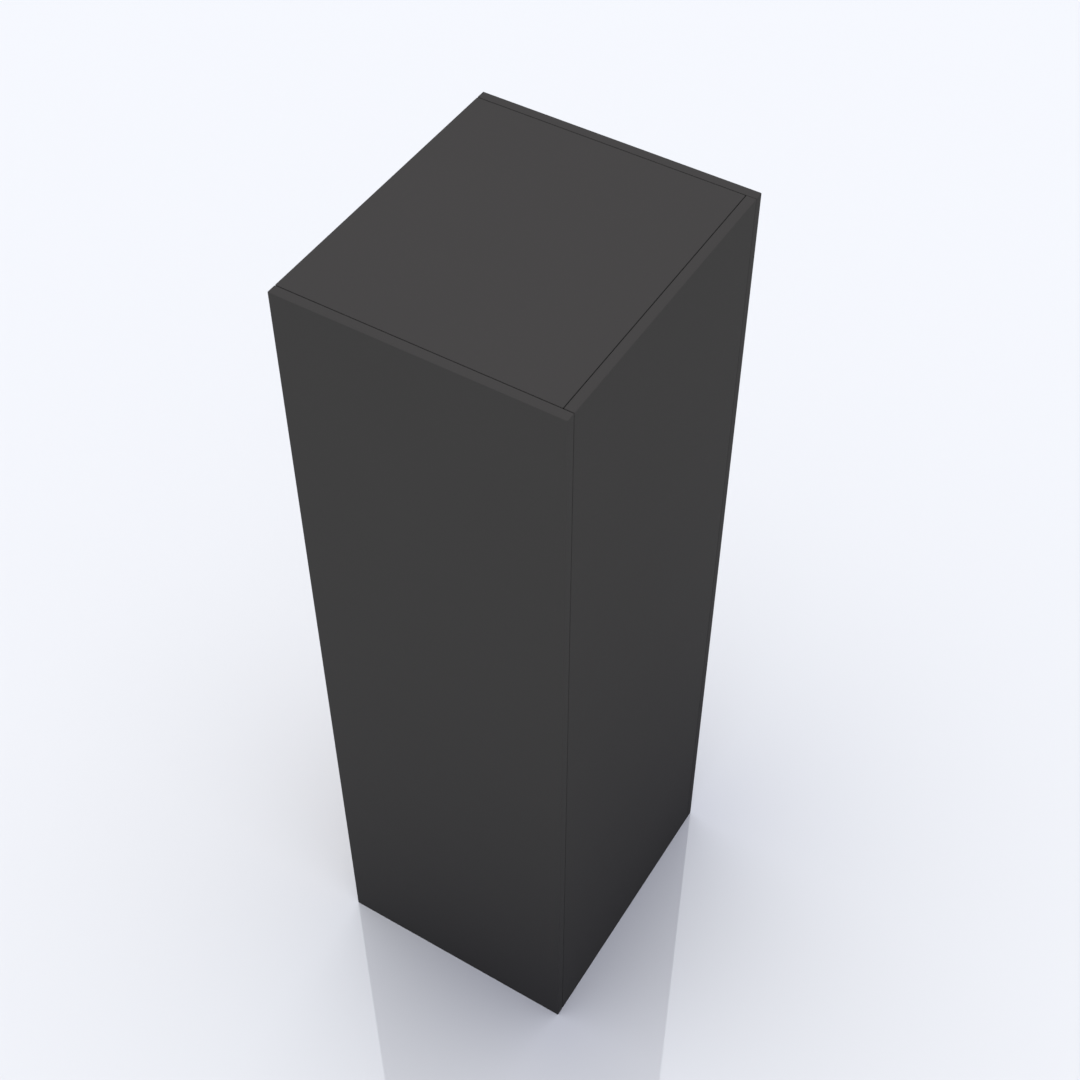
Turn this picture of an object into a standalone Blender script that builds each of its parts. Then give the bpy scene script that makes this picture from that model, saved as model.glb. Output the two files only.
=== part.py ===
"""Open-backed display plinth, built from thin board on glued and screwed battens.

Frame: metres, +Z up, origin on the floor at the middle of the footprint. The front faces -Y, the
open back faces +Y, and left is -X. Two full-depth side panels hold the front panel and the top
panel between them. A top, a shelf and a base are each carried on a U of three cleats, and corner
battens tie the front panel to the sides between those levels. Every screw is driven from inside,
so no fixing shows on the outer faces.
"""

import math

import bmesh
import bpy
from mathutils import Matrix, Vector

# Overall size.
WIDTH = 0.400
DEPTH = 0.350
HEIGHT = 1.200

# Board and batten stock.
BOARD = 0.012
BATTEN = 0.018
BOARD_ARRIS = 0.0006
BATTEN_ARRIS = 0.0010

# The gap at a joint: inside, and as the hairline that shows between two outer panels.
JOINT_GAP = 0.0003
SHOWN_JOINT = 0.0008

# Levels, and how far pieces stop short of the floor and of the open back.
SHELF_HEIGHT = 0.600
FLOOR_CLEARANCE = 0.002
BOARD_SETBACK = 0.010
CLEAT_SETBACK = 0.025

# Countersunk wood screw. It goes through a batten and stops short of a board's outer face.
SCREW_SUNK = 0.0003
SCREW_COVER = 0.005
SCREW_LENGTH = BATTEN + JOINT_GAP + BOARD - SCREW_COVER - SCREW_SUNK
SCREW_RADIUS = 0.00175
SCREW_HEAD_RADIUS = 0.0035
SCREW_TIP = 0.0030
RECESS_REACH = 0.0021
RECESS_HALF_WIDTH = 0.0005
RECESS_DEPTH = 0.0014
PILOT_SPARE = 0.0006
ROUND_SIDES = 12
SMOOTH_UNDER = math.radians(35)

# Where the screws go along a cleat and along a corner batten.
CLEAT_SCREW_INSET = 0.045
CORNER_SCREW_INSET = 0.090
CORNER_SCREW_STAGGER = 0.030

# Faces that the rest is placed from.
SIDE_INNER_X = WIDTH / 2 - BOARD
FRONT_INNER_Y = -DEPTH / 2 + BOARD
BACK_Y = DEPTH / 2
LEVELS = {
    "base": FLOOR_CLEARANCE + BATTEN + JOINT_GAP,
    "shelf": SHELF_HEIGHT - BOARD,
    "top": HEIGHT - BOARD,
}
SIDES = {"left": -1, "right": 1}


def finish(name, colour, roughness, metallic=0.0):
    """A Principled material with one colour."""
    material = bpy.data.materials.new(name)
    material.use_nodes = True
    shader = material.node_tree.nodes["Principled BSDF"]
    shader.inputs["Base Color"].default_value = (*colour, 1.0)
    shader.inputs["Roughness"].default_value = roughness
    shader.inputs["Metallic"].default_value = metallic
    return material


def add_object(name, mesh, location=(0, 0, 0), rotation=None):
    """An object on the plinth's own empty."""
    made = bpy.data.objects.new(name, mesh)
    made.location = location
    if rotation:
        made.rotation_mode = "QUATERNION"
        made.rotation_quaternion = rotation
    made.parent = plinth
    bpy.context.scene.collection.objects.link(made)
    return made


def add_stock(name, low, high, arris, material):
    """A straight piece of board or batten between two corners, with its edges eased."""
    low, high = Vector(low), Vector(high)
    mesh = bpy.data.meshes.new(name)
    shape = bmesh.new()
    bmesh.ops.create_cube(shape, size=1.0, matrix=Matrix.Diagonal((*(high - low), 1.0)))
    shape.to_mesh(mesh)
    shape.free()
    mesh.materials.append(material)
    piece = add_object(name, mesh, (low + high) / 2)
    eased = piece.modifiers.new("eased_edges", "BEVEL")
    eased.limit_method = "NONE"
    eased.width = arris
    eased.segments = 1
    return piece


def ring(radius, z):
    """One round section, its first corner half a step off the X axis."""
    step = 2 * math.pi / ROUND_SIDES
    turns = (step * (i + 0.5) for i in range(ROUND_SIDES))
    return [Vector((radius * math.cos(a), radius * math.sin(a), z)) for a in turns]


def cross_ring(reach, half_width, z):
    """The twelve corners of a cross, in the order of a twelve-sided ring."""
    arm = [(reach, half_width), (half_width, half_width), (half_width, reach)]
    quarter_turns = (Matrix.Rotation(math.radians(90 * i), 3, "Z") for i in range(4))
    return [turn @ Vector((x, y, z)) for turn in quarter_turns for x, y in arm]


def skin(shape, rings, matrix):
    """Closes a solid round its sections, which run from its top down to its foot.

    A section of one point is a tip, and a section of many at an end is filled flat.
    """
    loops = [[shape.verts.new(matrix @ point) for point in section] for section in rings]
    for upper, lower in zip(loops, loops[1:]):
        count = max(len(upper), len(lower))
        for i in range(count):
            j = (i + 1) % count
            here = upper[i % len(upper)], lower[i % len(lower)]
            beside = lower[j % len(lower)], upper[j % len(upper)]
            shape.faces.new(dict.fromkeys(here + beside))
    if len(loops[0]) > 1:
        shape.faces.new(loops[0])
    if len(loops[-1]) > 1:
        shape.faces.new(reversed(loops[-1]))


def screw_rings(clearance=0.0, spare=0.0):
    """Sections of the screw along its own +Z axis, from its head at the origin down to its point.

    With a clearance they bound the hole that the screw goes in, which is open above the head.
    """
    neck_z = -(SCREW_HEAD_RADIUS - SCREW_RADIUS)
    tip_z = SCREW_TIP - SCREW_LENGTH
    if not clearance:
        return [
            [Vector((0, 0, -RECESS_DEPTH))],
            cross_ring(RECESS_REACH, RECESS_HALF_WIDTH, 0.0),
            ring(SCREW_HEAD_RADIUS, 0.0),
            ring(SCREW_RADIUS, neck_z),
            ring(SCREW_RADIUS, tip_z),
            [Vector((0, 0, -SCREW_LENGTH))],
        ]
    mouth = SCREW_SUNK + clearance
    return [
        ring(SCREW_HEAD_RADIUS + clearance + mouth, mouth),
        ring(SCREW_RADIUS + clearance, neck_z),
        ring(SCREW_RADIUS + clearance, -SCREW_LENGTH - spare),
    ]


def mesh_of(name, solids):
    """A mesh of closed solids, each given as its sections and its place."""
    mesh = bpy.data.meshes.new(name)
    shape = bmesh.new()
    for rings, matrix in solids:
        skin(shape, rings, matrix)
    bmesh.ops.recalc_face_normals(shape, faces=shape.faces[:])
    shape.to_mesh(mesh)
    shape.free()
    return mesh


def add_screw(name, batten, board, point, towards):
    """A screw through a batten into a board, with its head sunk in the batten's open face."""
    towards = Vector(towards)
    turn = (-towards).to_track_quat("Z", "Y")
    place = Matrix.LocRotScale(Vector(point) + towards * SCREW_SUNK, turn, None)
    add_object(name, screw_mesh, place.to_translation(), turn)
    hole = (screw_rings(JOINT_GAP, PILOT_SPARE), place)
    for drilled in (batten, board):
        holes.setdefault(drilled.name, []).append(hole)


def drill(name, solids):
    """Cuts all of one piece's screw holes at once."""
    cutter = add_object(name + "_drill", mesh_of(name + "_drill", solids))
    cutter.hide_render = True
    cutter.display_type = "WIRE"
    cut = bpy.data.objects[name].modifiers.new("screw_holes", "BOOLEAN")
    cut.operation = "DIFFERENCE"
    cut.solver = "EXACT"
    cut.object = cutter


def add_panels():
    """The two sides, and the front between them, tight to the right one."""
    for side, sign in SIDES.items():
        across = sorted((sign * SIDE_INNER_X, sign * WIDTH / 2))
        low, high = (across[0], -BACK_Y, 0.0), (across[1], BACK_Y, HEIGHT)
        pieces[side] = add_stock(side + "_side_panel", low, high, BOARD_ARRIS, lacquer)
    left_end, right_end = SHOWN_JOINT - SIDE_INNER_X, SIDE_INNER_X - JOINT_GAP
    low, high = (left_end, -BACK_Y, 0.0), (right_end, FRONT_INNER_Y, HEIGHT)
    pieces["front"] = add_stock("front_panel", low, high, BOARD_ARRIS, lacquer)


def add_level(level, underside):
    """One horizontal board and the three cleats under it, screwed to the panels and up into it."""
    joint, setback, material = JOINT_GAP, BOARD_SETBACK, raw_board
    if level == "top":
        joint, setback, material = SHOWN_JOINT, 0.0, lacquer
    reach = SIDE_INNER_X - joint
    low = (-reach, FRONT_INNER_Y + joint, underside)
    high = (reach, BACK_Y - setback, underside + BOARD)
    board = add_stock(level + "_panel", low, high, BOARD_ARRIS, material)

    reach = SIDE_INNER_X - JOINT_GAP
    front_y = FRONT_INNER_Y + JOINT_GAP
    cleat_top = underside - JOINT_GAP
    cleat_foot = cleat_top - BATTEN
    cleat_mid = cleat_top - BATTEN / 2
    back_y = BACK_Y - CLEAT_SETBACK
    for side, sign in SIDES.items():
        name = level + "_cleat_" + side
        open_x = sign * (reach - BATTEN)
        across = sorted((open_x, sign * reach))
        low, high = (across[0], front_y, cleat_foot), (across[1], back_y, cleat_top)
        cleat = add_stock(name, low, high, BATTEN_ARRIS, softwood)
        for i, y in enumerate((front_y + CLEAT_SCREW_INSET, back_y - CLEAT_SCREW_INSET), 1):
            add_screw(f"{name}_screw_{i}", cleat, pieces[side], (open_x, y, cleat_mid), (sign, 0, 0))
        middle = (sign * (reach - BATTEN / 2), (front_y + back_y) / 2, cleat_foot)
        add_screw(f"{level}_panel_screw_{side}", cleat, board, middle, (0, 0, 1))

    name = level + "_cleat_front"
    half = reach - BATTEN - JOINT_GAP
    low, high = (-half, front_y, cleat_foot), (half, front_y + BATTEN, cleat_top)
    cleat = add_stock(name, low, high, BATTEN_ARRIS, softwood)
    for i, x in enumerate((CLEAT_SCREW_INSET - half, half - CLEAT_SCREW_INSET), 1):
        add_screw(f"{name}_screw_{i}", cleat, pieces["front"], (x, front_y + BATTEN, cleat_mid), (0, -1, 0))


def add_corner_battens(bay, foot, head):
    """The two upright battens of one bay, in its front corners, screwed both ways."""
    reach = SIDE_INNER_X - JOINT_GAP
    front_y = FRONT_INNER_Y + JOINT_GAP
    for side, sign in SIDES.items():
        name = f"{bay}_corner_batten_{side}"
        open_x = sign * (reach - BATTEN)
        middle_x = sign * (reach - BATTEN / 2)
        across = sorted((open_x, sign * reach))
        low, high = (across[0], front_y, foot), (across[1], front_y + BATTEN, head)
        batten = add_stock(name, low, high, BATTEN_ARRIS, softwood)
        for i, z in enumerate((foot + CORNER_SCREW_INSET, head - CORNER_SCREW_INSET), 1):
            side_point = (open_x, front_y + BATTEN / 2, z)
            front_point = (middle_x, front_y + BATTEN, z + CORNER_SCREW_STAGGER)
            add_screw(f"{name}_side_screw_{i}", batten, pieces[side], side_point, (sign, 0, 0))
            add_screw(f"{name}_front_screw_{i}", batten, pieces["front"], front_point, (0, -1, 0))


for old in list(bpy.data.objects):
    bpy.data.objects.remove(old)

plinth = bpy.data.objects.new("plinth", None)
bpy.context.scene.collection.objects.link(plinth)

lacquer = finish("charcoal_lacquer", (0.050, 0.049, 0.050), 0.62)
raw_board = finish("raw_fibreboard", (0.42, 0.28, 0.17), 0.85)
softwood = finish("planed_softwood", (0.62, 0.44, 0.25), 0.70)
zinc = finish("zinc_plated_steel", (0.62, 0.60, 0.55), 0.35, 1.0)

pieces = {}
holes = {}
screw_mesh = mesh_of("countersunk_screw", [(screw_rings(), Matrix.Identity(4))])
screw_mesh.materials.append(zinc)
screw_mesh.shade_smooth()
screw_mesh.set_sharp_from_angle(angle=SMOOTH_UNDER)

add_panels()
for level_name, underside in LEVELS.items():
    add_level(level_name, underside)

STACK = BATTEN + 2 * JOINT_GAP
add_corner_battens("lower", LEVELS["base"] + BOARD + JOINT_GAP, LEVELS["shelf"] - STACK)
add_corner_battens("upper", LEVELS["shelf"] + BOARD + JOINT_GAP, LEVELS["top"] - STACK)

for drilled_name, solids in holes.items():
    drill(drilled_name, solids)
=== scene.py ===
"""Looks of the display plinth.

Outside it is fibreboard sprayed with dead-matt charcoal lacquer. Behind its open back the board is
raw, with overspray round the opening, and it is held by planed pine battens, zinc-plated screws and
glue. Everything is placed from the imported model, in metres, and rides on its one body.
"""

import math
import random

import bmesh
import bpy
from mathutils import Matrix, Vector


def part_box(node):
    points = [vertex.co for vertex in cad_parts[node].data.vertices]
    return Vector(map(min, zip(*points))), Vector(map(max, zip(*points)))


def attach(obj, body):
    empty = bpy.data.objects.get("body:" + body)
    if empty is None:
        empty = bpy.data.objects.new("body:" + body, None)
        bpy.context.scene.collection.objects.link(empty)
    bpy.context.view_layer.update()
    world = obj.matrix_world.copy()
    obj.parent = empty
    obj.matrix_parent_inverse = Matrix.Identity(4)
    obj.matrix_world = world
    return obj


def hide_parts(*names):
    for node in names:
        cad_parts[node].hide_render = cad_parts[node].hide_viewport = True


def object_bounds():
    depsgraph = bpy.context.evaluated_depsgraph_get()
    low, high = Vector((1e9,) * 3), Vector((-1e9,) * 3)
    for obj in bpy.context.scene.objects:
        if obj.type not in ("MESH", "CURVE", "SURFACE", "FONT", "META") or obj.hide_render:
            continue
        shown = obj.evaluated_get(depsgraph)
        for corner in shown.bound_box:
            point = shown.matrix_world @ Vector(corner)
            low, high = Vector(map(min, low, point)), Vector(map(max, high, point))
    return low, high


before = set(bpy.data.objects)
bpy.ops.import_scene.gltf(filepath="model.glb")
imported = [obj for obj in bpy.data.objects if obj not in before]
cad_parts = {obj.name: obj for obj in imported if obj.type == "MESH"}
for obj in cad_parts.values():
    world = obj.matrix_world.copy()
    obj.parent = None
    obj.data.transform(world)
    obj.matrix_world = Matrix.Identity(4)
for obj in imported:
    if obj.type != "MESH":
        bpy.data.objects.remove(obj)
cad_low, cad_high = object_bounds()

BODY = "root"
NODES = sorted(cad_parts)
UP = Vector((0, 0, 1))
HEIGHT = cad_high.z
RANDOM_SEED = 12

# Where the camera stands and looks.
CAMERA_PLACE = Vector((-1.2289, -0.7746, 2.3882))
CAMERA_AIM = Vector((0.1100, 0.0450, HEIGHT / 2))
CAMERA_LENS = 60.0

# The studio: an even pale surround, a broad light overhead, a glossy floor, and under it a card of
# painted shade.
SURROUND = (0.900, 0.926, 0.951)
OVERHEAD_COLOUR = (1.0, 0.91, 0.97)
OVERHEAD_STRENGTH = 0.96
OVERHEAD_SPREAD = math.radians(60)
OVERHEAD_HEIGHT = 4.0
FLOOR_REACH = 60.0
FLOOR_COLOUR = (0.772, 0.789, 0.813)
FLOOR_IOR = 2.3
FLOOR_ROUGHNESS = 0.02
# Painted shade on the floor round the plinth's foot. Its colour darkens towards a bluish tone near the
# foot, most in front and less towards the open back.
PAINTED_SHADE_ALL_ROUND = 0.06
PAINTED_SHADE_IN_FRONT = 0.15
PAINTED_SHADE_COLOUR = (0.00, 0.03, 0.28)
PAINTED_SHADE_REACH = 0.17
PAINTED_SHADE_FADES_BACK = (-0.10, 0.25)
FLOOR_SIDES = 128
# Painted shade: a card under the floor, seen only by diffuse light. It is dark in its core and pale at
# its rim, and it darkens the plinth's lower sides.
CARD_MIDDLE = Vector((-0.30, -0.49, 0.0))
CARD_RADIUS = 1.00
CARD_CORE = 0.46
CARD_DROP = 0.001
PAINTED_SHADE_CARD_COLOUR = (0.00, 0.00, 0.10)
CARD_RIM_COLOUR = (0.74, 0.76, 0.78)

# Lacquer.
CHARCOAL = (0.0536, 0.0517, 0.0505)
LACQUER_ROUGHNESS = 0.85
LACQUER_SPECULAR = 0.012
SPRAY_CLOUD_SCALE = 5.0
SPRAY_PASS_STRETCH = (2.0, 2.0, 14.0)
PEEL_SCALE = 420.0
DRIED_GRAIN_SCALE = 2200.0
SPECK_SCALE = 1300.0
FACE_STIPPLE = 0.00010
EDGE_STIPPLE = 0.00016

# Rounded edges.
BOARD_ARRIS = 0.0008
BATTEN_ARRIS = 0.0012
ARRIS_STEPS = 3

# How near a face must be to a plane to lie on it.
NEAR = 0.00002

# How far overspray reaches in from the open back.
OVERSPRAY_FADES = cad_high.y - 0.075
OVERSPRAY_FULL = cad_high.y - 0.008
OVERSPRAY_PATCH_SCALE = 11.0
DROPLET_SCALE = 900.0

# Where the joints between the outer panels end inside.
JOINT_MARGIN = 0.0005
TOP_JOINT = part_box("top_panel")[0].z + JOINT_MARGIN
FRONT_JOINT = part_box("front_panel")[1].y - JOINT_MARGIN

# Raw board.
BOARD_PALE = (0.56, 0.40, 0.25)
BOARD_MIDDLE = (0.46, 0.31, 0.18)
BOARD_DARK = (0.29, 0.18, 0.10)
FIBRE_STRETCHES = ((260, 1500, 900), (1400, 300, 1000), (900, 1300, 240))
FLAKE_SCALE = 650.0
BOARD_CLOUD_SCALE = 9.0
SAW_MARK_STRETCH = (700, 700, 40)
SANDED_DEPTH = 0.00012
SAWN_DEPTH = 0.00035

# Pencil marks.
GRAPHITE = (0.10, 0.09, 0.085)
PENCIL_WIDTH = 0.0009
PENCIL_SPACE = 0.0035
PENCIL_GRAIN_SCALE = 160.0
LEVELS = ("base", "shelf", "top")

# Pine.
PINE_PALE = (0.74, 0.56, 0.34)
PINE_DARK = (0.50, 0.30, 0.14)
PINE_KNOT = (0.31, 0.16, 0.075)
RING_SCALE = 110.0
RING_STRETCH = (0.10, 1.0, 1.0)
PORE_STRETCH = (60, 2400, 2400)
PINE_CLOUD_STRETCH = (5, 40, 40)
KNOT_STRETCH = (8, 20, 20)
PLANER_STRETCH = (180, 8, 8)
PLANED_DEPTH = 0.00018

# Zinc-plated screws.
ZINC_DULL = (0.60, 0.59, 0.57)
ZINC_BRIGHT = (0.84, 0.83, 0.80)
ZINC_CLOUD_SCALE = 700.0
SCRATCH_STRETCH = (400, 9000, 9000)
SCRATCH_DEPTH = 0.00003
HEAD_RADIUS = 0.0035
HEAD_RIM = 0.00025
SHANK_RADIUS = 0.0015
THREAD_DEPTH = 0.00045
THREAD_PITCH = 0.0016
THREAD_LENGTH = 0.017
TIP_LENGTH = 0.0035
RECESS_REACH = 0.0020
RECESS_HALF_WIDTH = 0.00052
RECESS_DEPTH = 0.0018
RECESS_TAPER = 0.45
HOLE_CLEARANCE = 0.0003
HOLE_MOUTH = 0.0008
HOLE_SIDES = 32
SCREW_SIDES = 28
STEPS_PER_TURN = 6

# Glue squeezed out along the battens. The section's corners are shares of the bead's size.
GLUE_PALE = (0.72, 0.62, 0.42)
GLUE_AMBER = (0.58, 0.42, 0.22)
GLUE_CLOUD_SCALE = 180.0
GLUE_LUMP_SCALE = 32.0
GLUE_LUMP_DEPTH = 0.0004
BEAD_SIZE = 0.0021
BEAD_STEP = 0.003
BEAD_MARGIN = 0.004
BEAD_SECTION = ((-0.35, -0.35), (0.85, -0.05), (0.72, 0.40), (0.40, 0.72), (-0.05, 0.85))
GLUE_GAP = 0.0003


class Wire:
    """One socket of a shader. Arithmetic on it adds Math nodes."""

    def __init__(self, shader, socket):
        self.shader = shader
        self.socket = socket

    def math(self, operation, *operands):
        return self.shader.node("ShaderNodeMath", {"operation": operation}, dict(enumerate(operands)))

    def __add__(self, other):
        return self.math("ADD", self, other)

    def __sub__(self, other):
        return self.math("SUBTRACT", self, other)

    def __rsub__(self, other):
        return self.math("SUBTRACT", other, self)

    def __mul__(self, other):
        return self.math("MULTIPLY", self, other)

    def __gt__(self, other):
        return self.math("GREATER_THAN", self, other)

    def __lt__(self, other):
        return self.math("LESS_THAN", self, other)

    __radd__ = __add__
    __rmul__ = __mul__

    def smaller(self, other):
        return self.math("MINIMUM", self, other)

    def away_from(self, value):
        return self.math("ABSOLUTE", self - value)

    def fade(self, start, end):
        """0 at start and 1 at end, eased between them, whichever is the larger."""
        settings = {"interpolation_type": "SMOOTHSTEP"}
        return self.shader.node("ShaderNodeMapRange", settings, {"Value": self, 1: start, 2: end})


class Shader:
    """A node tree being built. node() adds any node but the arithmetic, which Wire adds."""

    def __init__(self, tree):
        self.tree = tree
        tree.nodes.clear()

    def node(self, kind, settings=None, inputs=None, output=0):
        """Adds a node, applies its settings, and then fills its sockets with values or links."""
        made = self.tree.nodes.new(kind)
        for name, value in (settings or {}).items():
            setattr(made, name, value)
        for name, value in (inputs or {}).items():
            if isinstance(value, Wire):
                self.tree.links.new(value.socket, made.inputs[name])
            else:
                made.inputs[name].default_value = value
        return Wire(self, made.outputs[output]) if len(made.outputs) else None

    def where(self, stretch=(1, 1, 1)):
        """The place on the piece, with each axis scaled."""
        place = self.node("ShaderNodeTexCoord", output="Object")
        return self.stretched(place, stretch)

    def stretched(self, place, stretch):
        return self.vector("MULTIPLY", place, stretch)

    def vector(self, operation, *operands, output=0):
        settings = {"operation": operation}
        return self.node("ShaderNodeVectorMath", settings, dict(enumerate(operands)), output)

    def along(self, axis):
        """One coordinate of the place on the piece."""
        return self.node("ShaderNodeSeparateXYZ", None, {0: self.where()}, axis)

    def noise(self, place, scale, detail=2.0, roughness=0.5):
        inputs = {"Vector": place, "Scale": scale, "Detail": detail, "Roughness": roughness}
        return self.node("ShaderNodeTexNoise", None, inputs)

    def mix(self, factor, first, second):
        """A colour between two colours."""
        colours = [(*c, 1.0) if isinstance(c, tuple) else c for c in (first, second)]
        inputs = {0: factor, 6: colours[0], 7: colours[1]}
        return self.node("ShaderNodeMix", {"data_type": "RGBA"}, inputs, 2)

    def bump(self, height, strength, distance):
        inputs = {"Height": height, "Strength": strength, "Distance": distance}
        return self.node("ShaderNodeBump", None, inputs)

    def surface(self, **inputs):
        """The Principled shader. Underscores in the names stand for spaces."""
        named = {name.replace("_", " "): value for name, value in inputs.items()}
        made = self.node("ShaderNodeBsdfPrincipled", None, named)
        self.node("ShaderNodeOutputMaterial", None, {"Surface": made})


def new_finish(name):
    material = bpy.data.materials.new(name)
    material.use_nodes = True
    return material, Shader(material.node_tree)


def tinted(colour, amount):
    return tuple(channel * amount for channel in colour)


def lacquer_colour(shader):
    """Charcoal, a little uneven from the spray gun's passes."""
    cloud = shader.noise(shader.where(), SPRAY_CLOUD_SCALE, 3.0)
    pass_marks = shader.noise(shader.where(SPRAY_PASS_STRETCH), 1.0, 2.0)
    return shader.mix(cloud * 0.6 + pass_marks * 0.4, tinted(CHARCOAL, 0.97), tinted(CHARCOAL, 1.03))


def make_lacquer(name, stipple):
    """Dead-matt charcoal lacquer. stipple is the height of its dried grain."""
    material, shader = new_finish(name)
    place = shader.where()
    peel = shader.noise(place, PEEL_SCALE, 2.0)
    grain = shader.noise(place, DRIED_GRAIN_SCALE, 3.0, 0.6)
    speck = shader.noise(place, SPECK_SCALE, 0.0).fade(0.74, 0.80)
    shader.surface(
        Base_Color=shader.mix(speck * 0.25, lacquer_colour(shader), tinted(CHARCOAL, 1.8)),
        Roughness=LACQUER_ROUGHNESS + (grain - 0.5) * 0.10,
        Specular_IOR_Level=LACQUER_SPECULAR,
        Normal=shader.bump(peel * 0.5 + grain * 0.5, 0.35, stipple),
    )
    return material


def overspray(shader):
    """Lacquer that drifted in at the open back, solid at the rim, or ran into the panels' joints."""
    drift = shader.along("Y").fade(OVERSPRAY_FADES, OVERSPRAY_FULL)
    patch = shader.noise(shader.where(), OVERSPRAY_PATCH_SCALE, 2.0)
    droplets = shader.noise(shader.where(), DROPLET_SCALE, 3.0, 0.7)
    mist = drift * 1.15 + (patch - 0.5) * 0.6 + (droplets - 0.5) * 1.5
    in_joint = (shader.along("Z") > TOP_JOINT) + (shader.along("Y") < FRONT_JOINT)
    return (mist + in_joint * 3).fade(0.25, 1.10)


def pencil_lines(shader):
    """The joiner's marks: a line under each level's cleats, and one beside each corner batten."""
    across, back, up = (shader.along(axis) for axis in "XYZ")
    batten_low, batten_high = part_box("upper_corner_batten_right")
    nearest = back.away_from(batten_high.y + PENCIL_SPACE).smaller(
        across.away_from(0).away_from(batten_low.x - PENCIL_SPACE)
    )
    for level in LEVELS:
        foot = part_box(level + "_cleat_left")[0].z
        nearest = nearest.smaller(up.away_from(foot - PENCIL_SPACE))
    pressure = shader.noise(shader.where(), PENCIL_GRAIN_SCALE, 3.0, 0.6)
    return nearest.fade(PENCIL_WIDTH, PENCIL_WIDTH * 0.4) * pressure.fade(0.30, 0.60)


def make_raw_board(name, cut=False, marked=False):
    """Unfinished fibreboard: sanded faces, marked out or not, or the darker saw-cut edge."""
    material, shader = new_finish(name)
    fibres = [shader.noise(shader.where(stretch), 1.0, 3.0, 0.7) for stretch in FIBRE_STRETCHES]
    mixed = (fibres[0] + fibres[1] + fibres[2]) * (1 / 3)
    flake = shader.noise(shader.where(), FLAKE_SCALE, 2.0).fade(0.62, 0.72)
    cloud = shader.noise(shader.where(), BOARD_CLOUD_SCALE, 3.0)
    ground = shader.mix(mixed.fade(0.36, 0.64), BOARD_MIDDLE, BOARD_PALE)
    flecked = shader.mix(flake * 0.45, ground, BOARD_DARK)
    shaded = shader.mix(cloud.fade(0.3, 0.8) * 0.35, flecked, BOARD_MIDDLE)
    if cut:
        saw = shader.noise(shader.where(SAW_MARK_STRETCH), 1.0, 2.0)
        shaded = shader.mix(saw.fade(0.35, 0.75) * 0.55 + 0.15, shaded, BOARD_DARK)
        mixed = mixed * 0.6 + saw * 0.8
    if marked:
        shaded = shader.mix(pencil_lines(shader) * 0.8, shaded, GRAPHITE)
    sprayed = overspray(shader)
    shader.surface(
        Base_Color=shader.mix(sprayed, shaded, tinted(CHARCOAL, 1.05)),
        Roughness=0.86 - sprayed * 0.10,
        Specular_IOR_Level=0.25,
        Normal=shader.bump(mixed, 0.5, SAWN_DEPTH if cut else SANDED_DEPTH),
    )
    return material


def make_pine():
    """Planed softwood. Its grain follows the piece's own grain attribute, whose X runs along it."""
    material, shader = new_finish("planed_pine")
    grain = shader.node("ShaderNodeAttribute", {"attribute_name": "grain"}, None, "Vector")
    settings = {"wave_type": "RINGS", "rings_direction": "X", "wave_profile": "SAW"}
    inputs = {
        "Vector": shader.stretched(grain, RING_STRETCH),
        "Scale": RING_SCALE,
        "Distortion": 3.0,
        "Detail": 2.0,
        "Detail Scale": 0.35,
    }
    rings = shader.node("ShaderNodeTexWave", settings, inputs, "Fac")
    pores = shader.noise(shader.stretched(grain, PORE_STRETCH), 1.0, 3.0, 0.6)
    cloud = shader.noise(shader.stretched(grain, PINE_CLOUD_STRETCH), 1.0, 2.0)
    late = rings.fade(0.35, 1.0) * 0.75 + (pores - 0.5) * 0.45 + (cloud - 0.5) * 0.4
    timber = shader.mix(late, PINE_PALE, PINE_DARK)
    knot_place = {"Vector": shader.stretched(grain, KNOT_STRETCH), "Scale": 1.0}
    knot = shader.node("ShaderNodeTexVoronoi", None, knot_place)
    knotty = shader.mix(knot.fade(0.18, 0.07) * (0.7 + pores * 0.4), timber, PINE_KNOT)
    planer = shader.noise(shader.stretched(grain, PLANER_STRETCH), 1.0, 1.0)
    sprayed = overspray(shader)
    shader.surface(
        Base_Color=shader.mix(sprayed, knotty, tinted(CHARCOAL, 1.05)),
        Roughness=0.66 + pores * 0.12,
        Specular_IOR_Level=0.35,
        Normal=shader.bump(pores * 0.6 + rings * 0.25 + planer * 0.5, 0.5, PLANED_DEPTH),
    )
    return material


def make_zinc():
    """Bright zinc plate, dulled in clouds and scratched by the driver bit."""
    material, shader = new_finish("zinc_plate")
    cloud = shader.noise(shader.where(), ZINC_CLOUD_SCALE, 3.0)
    scratch = shader.noise(shader.where(SCRATCH_STRETCH), 1.0, 2.0)
    sprayed = overspray(shader)
    plate = shader.mix(cloud, ZINC_DULL, ZINC_BRIGHT)
    shader.surface(
        Base_Color=shader.mix(sprayed, plate, CHARCOAL),
        Metallic=1 - sprayed,
        Roughness=0.26 + cloud * 0.22 + sprayed * 0.4,
        Normal=shader.bump(scratch, 0.25, SCRATCH_DEPTH),
    )
    return material


def make_glue():
    """Dried white glue, gone amber where it is thick."""
    material, shader = new_finish("dried_glue")
    cloud = shader.noise(shader.where(), GLUE_CLOUD_SCALE, 2.0)
    sprayed = overspray(shader)
    shader.surface(
        Base_Color=shader.mix(sprayed, shader.mix(cloud, GLUE_PALE, GLUE_AMBER), CHARCOAL),
        Roughness=0.30 + cloud * 0.15 + sprayed * 0.4,
        Normal=shader.bump(cloud, 0.3, GLUE_LUMP_DEPTH),
    )
    return material


def add_piece(name, mesh, nodes=()):
    """A finished piece that rides on the plinth's body, and may stand for CAD nodes."""
    piece = bpy.data.objects.new(name, mesh)
    bpy.context.scene.collection.objects.link(piece)
    if nodes:
        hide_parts(*nodes)
    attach(piece, BODY)


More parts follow.
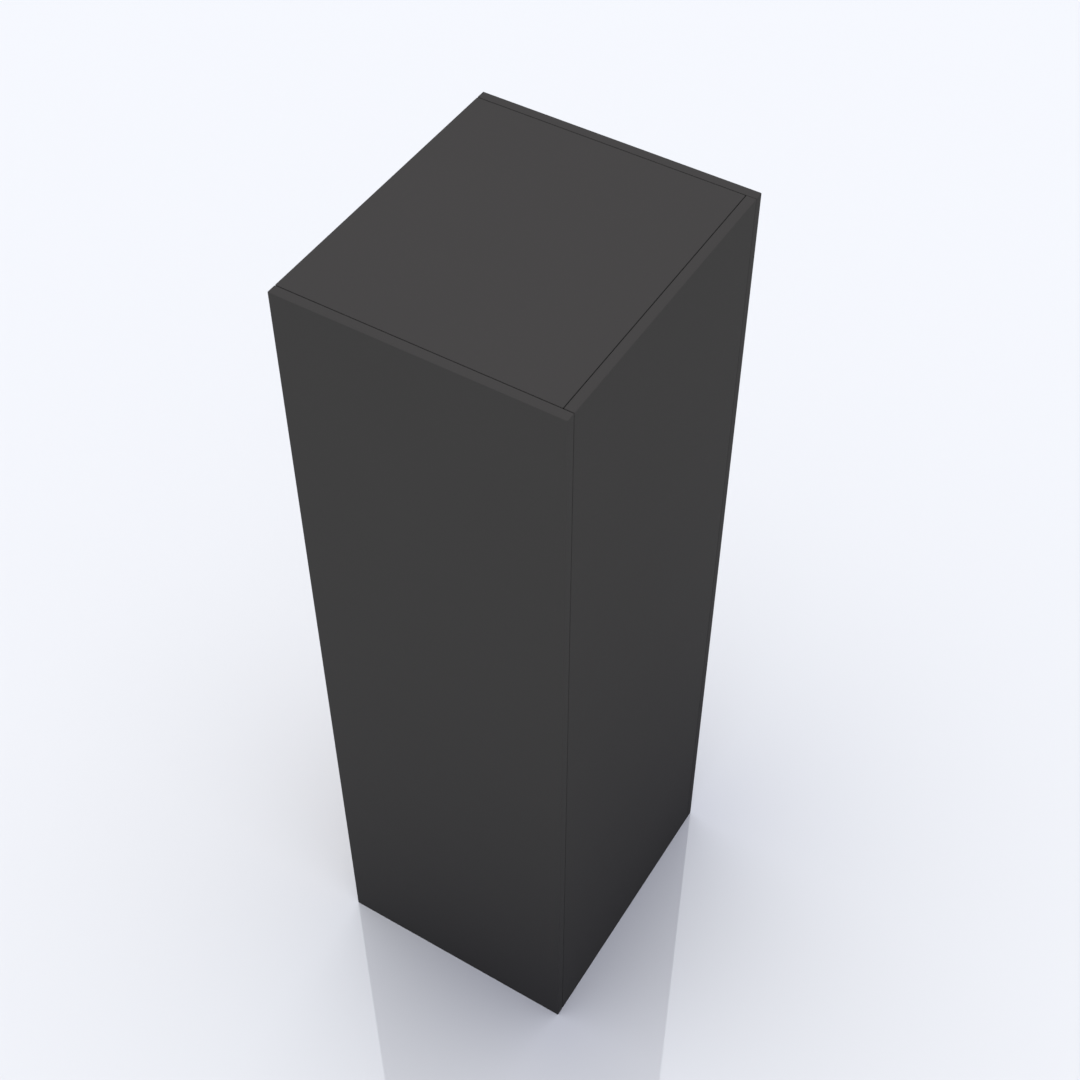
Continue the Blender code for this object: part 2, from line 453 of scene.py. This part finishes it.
def stock_mesh(name, low, high, arris):
    """A straight piece between two corners, with every edge rounded."""
    mesh = bpy.data.meshes.new(name)
    shape = bmesh.new()
    matrix = Matrix.Translation((low + high) / 2) @ Matrix.Diagonal((*(high - low), 1.0))
    bmesh.ops.create_cube(shape, size=1.0, matrix=matrix)
    bmesh.ops.bevel(
        shape, geom=shape.edges[:], offset=arris, segments=ARRIS_STEPS, profile=0.5, affect="EDGES"
    )
    shape.to_mesh(mesh)
    shape.free()
    mesh.shade_smooth()
    mesh.set_sharp_from_angle(angle=math.radians(40))
    return mesh


def paint_faces(mesh, finishes, choose):
    """Gives each face of a mesh one of the finishes, by its middle and its normal."""
    for finish in finishes:
        mesh.materials.append(finish)
    for face in mesh.polygons:
        face.material_index = choose(face.center, face.normal)


def add_lacquered_board(name, node, inward):
    """A board sprayed on its outer face and its edges, and raw on the face that looks inward."""
    low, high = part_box(node)
    mesh = stock_mesh(name, low, high, BOARD_ARRIS)
    face_axis = max(range(3), key=lambda i: abs(inward[i]))
    inner = (high if inward[face_axis] > 0 else low)[face_axis]

    def choose(middle, normal):
        if abs(middle[face_axis] - inner) < NEAR:
            return 2
        return 0 if abs(normal[face_axis]) > 0.999 else 1

    paint_faces(mesh, (lacquer_face, lacquer_edge, marked_face), choose)
    add_piece(name, mesh, [node])


def add_raw_board(name, node):
    """A board left raw, with saw-cut edges."""
    low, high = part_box(node)
    mesh = stock_mesh(name, low, high, BOARD_ARRIS)
    paint_faces(mesh, (raw_face, raw_edge), lambda middle, normal: 0 if abs(normal.z) > 0.999 else 1)
    add_piece(name, mesh, [node])


def plain_mesh(source):
    """The evaluated mesh of an object, which is then removed."""
    graph = bpy.context.evaluated_depsgraph_get()
    mesh = bpy.data.meshes.new_from_object(source.evaluated_get(graph))
    bpy.data.objects.remove(source)
    return mesh


def cut(mesh, cutter_mesh):
    """The mesh with a cutter's shape taken out of it."""
    target = bpy.data.objects.new("cut_target", mesh)
    cutter = bpy.data.objects.new("cutter", cutter_mesh)
    for helper in (target, cutter):
        bpy.context.scene.collection.objects.link(helper)
    boolean = target.modifiers.new("cut", "BOOLEAN")
    boolean.operation = "DIFFERENCE"
    boolean.solver = "EXACT"
    boolean.object = cutter
    made = plain_mesh(target)
    bpy.data.objects.remove(cutter)
    return made


def turned(rings_of_points, name):
    """A closed solid skinned over rings of points, each with as many points as the next or one."""
    mesh = bpy.data.meshes.new(name)
    shape = bmesh.new()
    loops = [[shape.verts.new(point) for point in ring] for ring in rings_of_points]
    for upper, lower in zip(loops, loops[1:]):
        count = max(len(upper), len(lower))
        for i in range(count):
            j = (i + 1) % count
            here = upper[i % len(upper)], lower[i % len(lower)]
            beside = lower[j % len(lower)], upper[j % len(upper)]
            shape.faces.new(dict.fromkeys(here + beside))
    for end in (loops[0], reversed(loops[-1])):
        end = list(end)
        if len(end) > 1:
            shape.faces.new(end)
    bmesh.ops.recalc_face_normals(shape, faces=shape.faces[:])
    shape.to_mesh(mesh)
    shape.free()
    return mesh


def round_ring(radius, z, sides):
    """Points on a circle round the Z axis. radius may be a function of the turn, from 0 to 1."""
    points = []
    for i in range(sides):
        turn = i / sides
        reach = radius(turn) if callable(radius) else radius
        points.append(Vector((reach * math.cos(math.tau * turn), reach * math.sin(math.tau * turn), z)))
    return points


def screw_length():
    low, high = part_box(screw_nodes[0])
    return max(high - low)


def threaded_mesh():
    """A countersunk wood screw, its head's top at the origin and its point towards -Z."""
    length = screw_length()
    neck = -(HEAD_RADIUS - SHANK_RADIUS)
    rings = [
        round_ring(HEAD_RADIUS - HEAD_RIM * 0.6, 0.0, SCREW_SIDES),
        round_ring(HEAD_RADIUS, -HEAD_RIM * 0.5, SCREW_SIDES),
        round_ring(HEAD_RADIUS, -HEAD_RIM, SCREW_SIDES),
        round_ring(SHANK_RADIUS * 1.1, neck - HEAD_RIM, SCREW_SIDES),
    ]
    start = -(length - THREAD_LENGTH)
    count = round(THREAD_LENGTH / THREAD_PITCH * STEPS_PER_TURN)

    def thread(z):
        taper = min(1.0, (length + z) / TIP_LENGTH)
        grown = min(1.0, (start - z) / THREAD_PITCH)

        def radius(turn):
            phase = (z / THREAD_PITCH + turn) % 1.0
            ridge = max(0.0, 1.0 - abs(phase - 0.5) * 4.0)
            return (SHANK_RADIUS + THREAD_DEPTH * ridge * grown) * taper

        return radius

    for i in range(count):
        z = start - THREAD_LENGTH * i / count
        rings.append(round_ring(thread(z), z, SCREW_SIDES))
    rings.append([Vector((0, 0, -length))])
    return turned(rings, "screw_blank")


def cross_ring(reach, half_width, z):
    """The twelve corners of a cross."""
    arm = [(reach, half_width), (half_width, half_width), (half_width, reach)]
    quarter_turns = [Matrix.Rotation(math.radians(90 * i), 3, "Z") for i in range(4)]
    return [turn @ Vector((x, y, z)) for turn in quarter_turns for x, y in arm]


def recess_mesh():
    """The driver's recess, a cross that tapers as it goes down."""
    rings = [
        cross_ring(RECESS_REACH, RECESS_HALF_WIDTH * 1.1, RECESS_DEPTH * 0.2),
        cross_ring(RECESS_REACH, RECESS_HALF_WIDTH * 1.1, -RECESS_DEPTH * 0.1),
        cross_ring(RECESS_REACH * RECESS_TAPER, RECESS_HALF_WIDTH * 0.8, -RECESS_DEPTH),
    ]
    return turned(rings, "recess")


def screw_marks():
    """Where each screw goes: (node, host batten, the head's middle, the way it is driven)."""
    found = []
    for node in screw_nodes:
        low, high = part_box(node)
        middle, size = (low + high) / 2, high - low
        axis = max(range(3), key=lambda i: size[i])
        host = min(batten_nodes, key=lambda name: distance_to(middle, *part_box(name)))
        host_low, host_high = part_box(host)
        towards = Vector((0, 0, 0))
        towards[axis] = math.copysign(1.0, middle[axis] - (host_low[axis] + host_high[axis]) / 2)
        found.append((node, host, middle - towards * size[axis] / 2, towards))
    return found


def distance_to(point, low, high):
    """From a point to a box, 0 inside it."""
    return Vector(max(low[i] - point[i], 0, point[i] - high[i]) for i in range(3)).length


def screw_place(head, towards, spin):
    """The matrix that drives a screw at a mark."""
    turn = (-towards).to_track_quat("Z", "Y").to_matrix().to_4x4()
    return Matrix.Translation(head) @ turn @ Matrix.Rotation(spin, 4, "Z")


def hole_mesh(head, towards):
    """A screw's clearance hole, opening in a countersink."""
    length = screw_length()
    radius = SHANK_RADIUS + THREAD_DEPTH + HOLE_CLEARANCE
    rings = [
        round_ring(HEAD_RADIUS + HOLE_CLEARANCE + HOLE_MOUTH, HOLE_MOUTH, HOLE_SIDES),
        round_ring(radius, radius - HEAD_RADIUS - HOLE_CLEARANCE, HOLE_SIDES),
        round_ring(radius, -length, HOLE_SIDES),
    ]
    mesh = turned(rings, "hole")
    mesh.transform(screw_place(head, towards, 0.0))
    return mesh


def joined(meshes, name):
    """One mesh made of several."""
    made = bpy.data.meshes.new(name)
    shape = bmesh.new()
    for mesh in meshes:
        shape.from_mesh(mesh)
    shape.to_mesh(made)
    shape.free()
    return made


def add_batten(node, marks, rng):
    """A pine batten with its screw holes, cut from a plank with its own rings."""
    low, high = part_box(node)
    mesh = stock_mesh("pine_" + node, low, high, BATTEN_ARRIS)
    holes = [hole_mesh(head, towards) for _, host, head, towards in marks if host == node]
    if holes:
        mesh = cut(mesh, joined(holes, "holes"))
    mesh.name = "pine_" + node
    size = high - low
    axis = max(range(3), key=lambda i: size[i])
    across, up = (i for i in range(3) if i != axis)
    pith = Vector((rng.uniform(0, 9), rng.uniform(0.015, 0.05), rng.uniform(-0.03, 0.03)))
    grain = mesh.attributes.new("grain", "FLOAT_VECTOR", "POINT")
    for vert, value in zip(mesh.vertices, grain.data):
        inside = vert.co - low
        value.vector = Vector((inside[axis], inside[across], inside[up])) + pith
    mesh.materials.clear()
    mesh.materials.append(pine)
    add_piece("pine_" + node, mesh, [node])


def new_tree(name, sockets):
    """A Geometry Nodes tree with named inputs."""
    tree = bpy.data.node_groups.new(name, "GeometryNodeTree")
    tree.interface.new_socket("Geometry", in_out="INPUT", socket_type="NodeSocketGeometry")
    tree.interface.new_socket("Geometry", in_out="OUTPUT", socket_type="NodeSocketGeometry")
    for label, kind in sockets.items():
        tree.interface.new_socket(label, in_out="INPUT", socket_type=kind)
    return tree


def run_tree(tree, mesh, values):
    """What a tree makes of a mesh, as a plain mesh. values go to the inputs by name."""
    holder = bpy.data.objects.new("tree_holder", mesh)
    bpy.context.scene.collection.objects.link(holder)
    modifier = holder.modifiers.new("tree", "NODES")
    modifier.node_group = tree
    for socket in tree.interface.items_tree:
        if socket.in_out == "INPUT" and socket.name in values:
            modifier[socket.identifier] = values[socket.name]
    return plain_mesh(holder)


def start_tree(tree):
    """The tree's own node maker, and its inputs by name."""
    shader = Shader(tree)
    start = tree.nodes.new("NodeGroupInput")
    return shader, {socket.name: Wire(shader, socket) for socket in start.outputs if socket.name}


def end_tree(shader, shape, finish):
    """Makes instances real, and gives them their finish."""
    real = shader.node("GeometryNodeRealizeInstances", None, {"Geometry": shape})
    finished = shader.node("GeometryNodeSetMaterial", None, {"Geometry": real, "Material": finish})
    shader.node("NodeGroupOutput", None, {"Geometry": finished})


def screw_tree():
    """Puts the screw at every point, turned as the point's attribute says."""
    tree = new_tree("screws_on_marks", {"Screw": "NodeSocketObject", "Plate": "NodeSocketMaterial"})
    shader, given = start_tree(tree)
    screw_shape = shader.node("GeometryNodeObjectInfo", None, {"Object": given["Screw"]}, "Geometry")
    turn = shader.node(
        "GeometryNodeInputNamedAttribute", {"data_type": "FLOAT_VECTOR"}, {"Name": "turn"}, "Attribute"
    )
    placed = shader.node(
        "GeometryNodeInstanceOnPoints",
        None,
        {"Points": given["Geometry"], "Instance": screw_shape, "Rotation": turn},
    )
    end_tree(shader, placed, given["Plate"])
    return tree


def add_screws(marks, rng):
    """All the screws, as one piece."""
    blank = cut(threaded_mesh(), recess_mesh())
    blank.shade_smooth()
    blank.set_sharp_from_angle(angle=math.radians(30))
    master = bpy.data.objects.new("screw_master", blank)
    bpy.context.scene.collection.objects.link(master)
    points = bpy.data.meshes.new("screw_marks")
    points.from_pydata([head for _, _, head, _ in marks], [], [])
    turns = points.attributes.new("turn", "FLOAT_VECTOR", "POINT")
    for (_, _, head, towards), value in zip(marks, turns.data):
        place = screw_place(head, towards, rng.uniform(0, math.tau))
        value.vector = place.to_euler()
    mesh = run_tree(screw_tree(), points, {"Screw": master, "Plate": zinc})
    bpy.data.objects.remove(master)
    mesh.name = "zinc_screws"
    add_piece("zinc_screws", mesh, [node for node, _, _, _ in marks])


def bead_tree():
    """Runs a section along X with a swelling, broken size, and closes its ends."""
    sockets = {
        "Length": "NodeSocketFloat",
        "Size": "NodeSocketFloat",
        "Steps": "NodeSocketInt",
        "Seed": "NodeSocketFloat",
        "Glue": "NodeSocketMaterial",
    }
    tree = new_tree("glue_bead", sockets)
    shader, given = start_tree(tree)
    section = shader.node("GeometryNodeMeshToCurve", None, {"Mesh": given["Geometry"]})
    end = shader.node("ShaderNodeCombineXYZ", None, {"X": given["Length"]})
    line = shader.node("GeometryNodeCurvePrimitiveLine", None, {"End": end})
    path = shader.node("GeometryNodeResampleCurve", None, {"Curve": line, "Count": given["Steps"]})
    place = shader.node("GeometryNodeInputPosition")
    lump_inputs = {
        "Vector": place,
        "W": given["Seed"],
        "Scale": GLUE_LUMP_SCALE,
        "Detail": 3.0,
        "Roughness": 0.6,
    }
    lumps = shader.node("ShaderNodeTexNoise", {"noise_dimensions": "4D"}, lump_inputs)
    along = shader.node("GeometryNodeSplineParameter")
    from_end = along.smaller(1 - along).fade(0.0, 0.02)
    swell = (lumps.fade(0.38, 0.72) * 0.85 + 0.22) * (from_end * 0.8 + 0.2)
    sweep = {"Curve": path, "Profile Curve": section, "Scale": swell * given["Size"], "Fill Caps": True}
    bead = shader.node("GeometryNodeCurveToMesh", None, sweep)
    end_tree(shader, bead, given["Glue"])
    return tree


def glued_ways(node):
    """The two ways from a batten towards what it is glued to."""
    sideways = {"left": -Vector((1, 0, 0)), "right": Vector((1, 0, 0)), "front": -Vector((0, 1, 0))}
    second = UP if "cleat" in node else sideways["front"]
    return sideways[node.rsplit("_", 1)[1]], second


def add_glue(rng):
    """A bead in each open corner between a batten and a board, as one piece."""
    section = bpy.data.meshes.new("bead_section")
    count = len(BEAD_SECTION)
    outline = [(i, (i + 1) % count) for i in range(count)]
    section.from_pydata([(*corner, 0) for corner in BEAD_SECTION], outline, [])
    tree = bead_tree()
    beads = []
    for node in batten_nodes:
        low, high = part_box(node)
        size = high - low
        axis = max(range(3), key=lambda i: size[i])
        along = Vector((axis == 0, axis == 1, axis == 2))
        ways = glued_ways(node)
        for glued, other in (ways, ways[::-1]):
            corner = (low + high) / 2 + GLUE_GAP * glued
            for way, sign in ((glued, 1), (other, -1)):
                corner += sign * way * abs(size.dot(way)) / 2
            first, second = (glued, other) if along.cross(glued).dot(other) > 0 else (other, glued)
            length = size[axis] - 2 * BEAD_MARGIN
            values = {
                "Length": length,
                "Size": BEAD_SIZE,
                "Steps": round(length / BEAD_STEP),
                "Seed": rng.uniform(0, 50),
                "Glue": glue,
            }
            bead = run_tree(tree, section.copy(), values)
            turn = Matrix((along, first, second)).transposed().to_4x4()
            bead.transform(Matrix.Translation(corner - along * length / 2) @ turn)
            beads.append(bead)
    mesh = joined(beads, "glue_beads")
    mesh.materials.append(glue)
    mesh.shade_smooth()
    add_piece("glue_beads", mesh)


def add_studio():
    """The surround, the overhead light, the floor with the painted-shade cards under it, and the
    camera.
    """
    world = bpy.data.worlds.new("surround")
    world.use_nodes = True
    shader = Shader(world.node_tree)
    glow = shader.node("ShaderNodeBackground", None, {"Color": (*SURROUND, 1.0), "Strength": 1.0})
    shader.node("ShaderNodeOutputWorld", None, {"Surface": glow})
    bpy.context.scene.world = world

    lamp = bpy.data.lights.new("overhead", "SUN")
    lamp.energy = OVERHEAD_STRENGTH
    lamp.angle = OVERHEAD_SPREAD
    lamp.color = OVERHEAD_COLOUR
    overhead = bpy.data.objects.new("overhead", lamp)
    overhead.location = UP * OVERHEAD_HEIGHT
    overhead.visible_glossy = False
    bpy.context.scene.collection.objects.link(overhead)

    floor = add_stage_sheet("floor", round_ring(FLOOR_REACH, 0.0, FLOOR_SIDES), make_floor())
    floor.visible_diffuse = False
    floor.visible_shadow = False

    # Painted shade: dark sheets under the floor, unseen by the camera. The round one darkens the
    # plinth's lower sides, and the one under the footprint keeps the light from below away from under
    # the plinth.
    card, shader = new_finish("dark_card")
    from_middle = shader.vector("SUBTRACT", shader.where(), CARD_MIDDLE)
    reach = shader.vector("LENGTH", from_middle, output="Value")
    shader.surface(
        Base_Color=shader.mix(reach.fade(CARD_CORE, CARD_RADIUS), PAINTED_SHADE_CARD_COLOUR, CARD_RIM_COLOUR),
        Roughness=1.0,
        Specular_IOR_Level=0.0,
    )
    round_card = [point + CARD_MIDDLE for point in round_ring(CARD_RADIUS, -CARD_DROP, FLOOR_SIDES)]
    footprint = [
        Vector((x, y, -2 * CARD_DROP))
        for x, y in (cad_low.xy, (cad_high.x, cad_low.y), cad_high.xy, (cad_low.x, cad_high.y))
    ]
    for name, outline in (("dark_card", round_card), ("dark_card_underneath", footprint)):
        sheet = add_stage_sheet(name, outline, card)
        sheet.visible_camera = False
        sheet.visible_glossy = False
        sheet.visible_shadow = False

    camera = bpy.data.objects.new("camera", bpy.data.cameras.new("camera"))
    camera.location = CAMERA_PLACE
    camera.rotation_euler = (CAMERA_AIM - CAMERA_PLACE).to_track_quat("-Z", "Y").to_euler()
    camera.data.lens = CAMERA_LENS
    bpy.context.scene.collection.objects.link(camera)
    bpy.context.scene.camera = camera
    bpy.context.scene.view_settings.view_transform = "Standard"


def make_floor():
    """Pale gloss, with painted shade round the plinth's foot: a bluish darkening that fades with
    distance and towards the open back.
    """
    material, shader = new_finish("pale_gloss_floor_painted_shade")
    half_size = (cad_high - cad_low) / 2
    past_foot = shader.vector("SUBTRACT", shader.vector("ABSOLUTE", shader.where()), half_size)
    distance = shader.vector("LENGTH", shader.vector("MAXIMUM", past_foot, (0, 0, 0)), output="Value")
    nearness = distance.math("EXPONENT", distance * (-1 / PAINTED_SHADE_REACH))
    in_front = 1 - shader.along("Y").fade(*PAINTED_SHADE_FADES_BACK)
    # Painted shade: how far the floor's colour is darkened, by nearness to the foot and by side.
    shade = nearness * (PAINTED_SHADE_ALL_ROUND + in_front * PAINTED_SHADE_IN_FRONT)
    shader.surface(
        Base_Color=shader.mix(shade, FLOOR_COLOUR, PAINTED_SHADE_COLOUR),
        Roughness=FLOOR_ROUGHNESS,
        IOR=FLOOR_IOR,
    )
    return material


def add_stage_sheet(name, outline, finish):
    """A flat stage piece."""
    mesh = bpy.data.meshes.new(name)
    mesh.from_pydata(outline, [], [range(len(outline))])
    mesh.materials.append(finish)
    sheet = bpy.data.objects.new(name, mesh)
    bpy.context.scene.collection.objects.link(sheet)
    return sheet


add_studio()

screw_nodes = [name for name in NODES if "_screw" in name]
batten_nodes = [name for name in NODES if name not in screw_nodes and not name.endswith("_panel")]

lacquer_face = make_lacquer("charcoal_lacquer", FACE_STIPPLE)
lacquer_edge = make_lacquer("charcoal_lacquer_edges", EDGE_STIPPLE)
raw_face = make_raw_board("raw_fibreboard")
marked_face = make_raw_board("raw_fibreboard_marked_out", marked=True)
raw_edge = make_raw_board("raw_fibreboard_edges", cut=True)
pine = make_pine()
zinc = make_zinc()
glue = make_glue()

add_lacquered_board("left_side_board", "left_side_panel", (1, 0, 0))
add_lacquered_board("right_side_board", "right_side_panel", (-1, 0, 0))
add_lacquered_board("front_board", "front_panel", (0, 1, 0))
add_lacquered_board("top_board", "top_panel", (0, 0, -1))
add_raw_board("shelf_board", "shelf_panel")
add_raw_board("base_board", "base_panel")

random_source = random.Random(RANDOM_SEED)
all_marks = screw_marks()
for batten_node in batten_nodes:
    add_batten(batten_node, all_marks, random_source)
add_screws(all_marks, random_source)
add_glue(random_source)
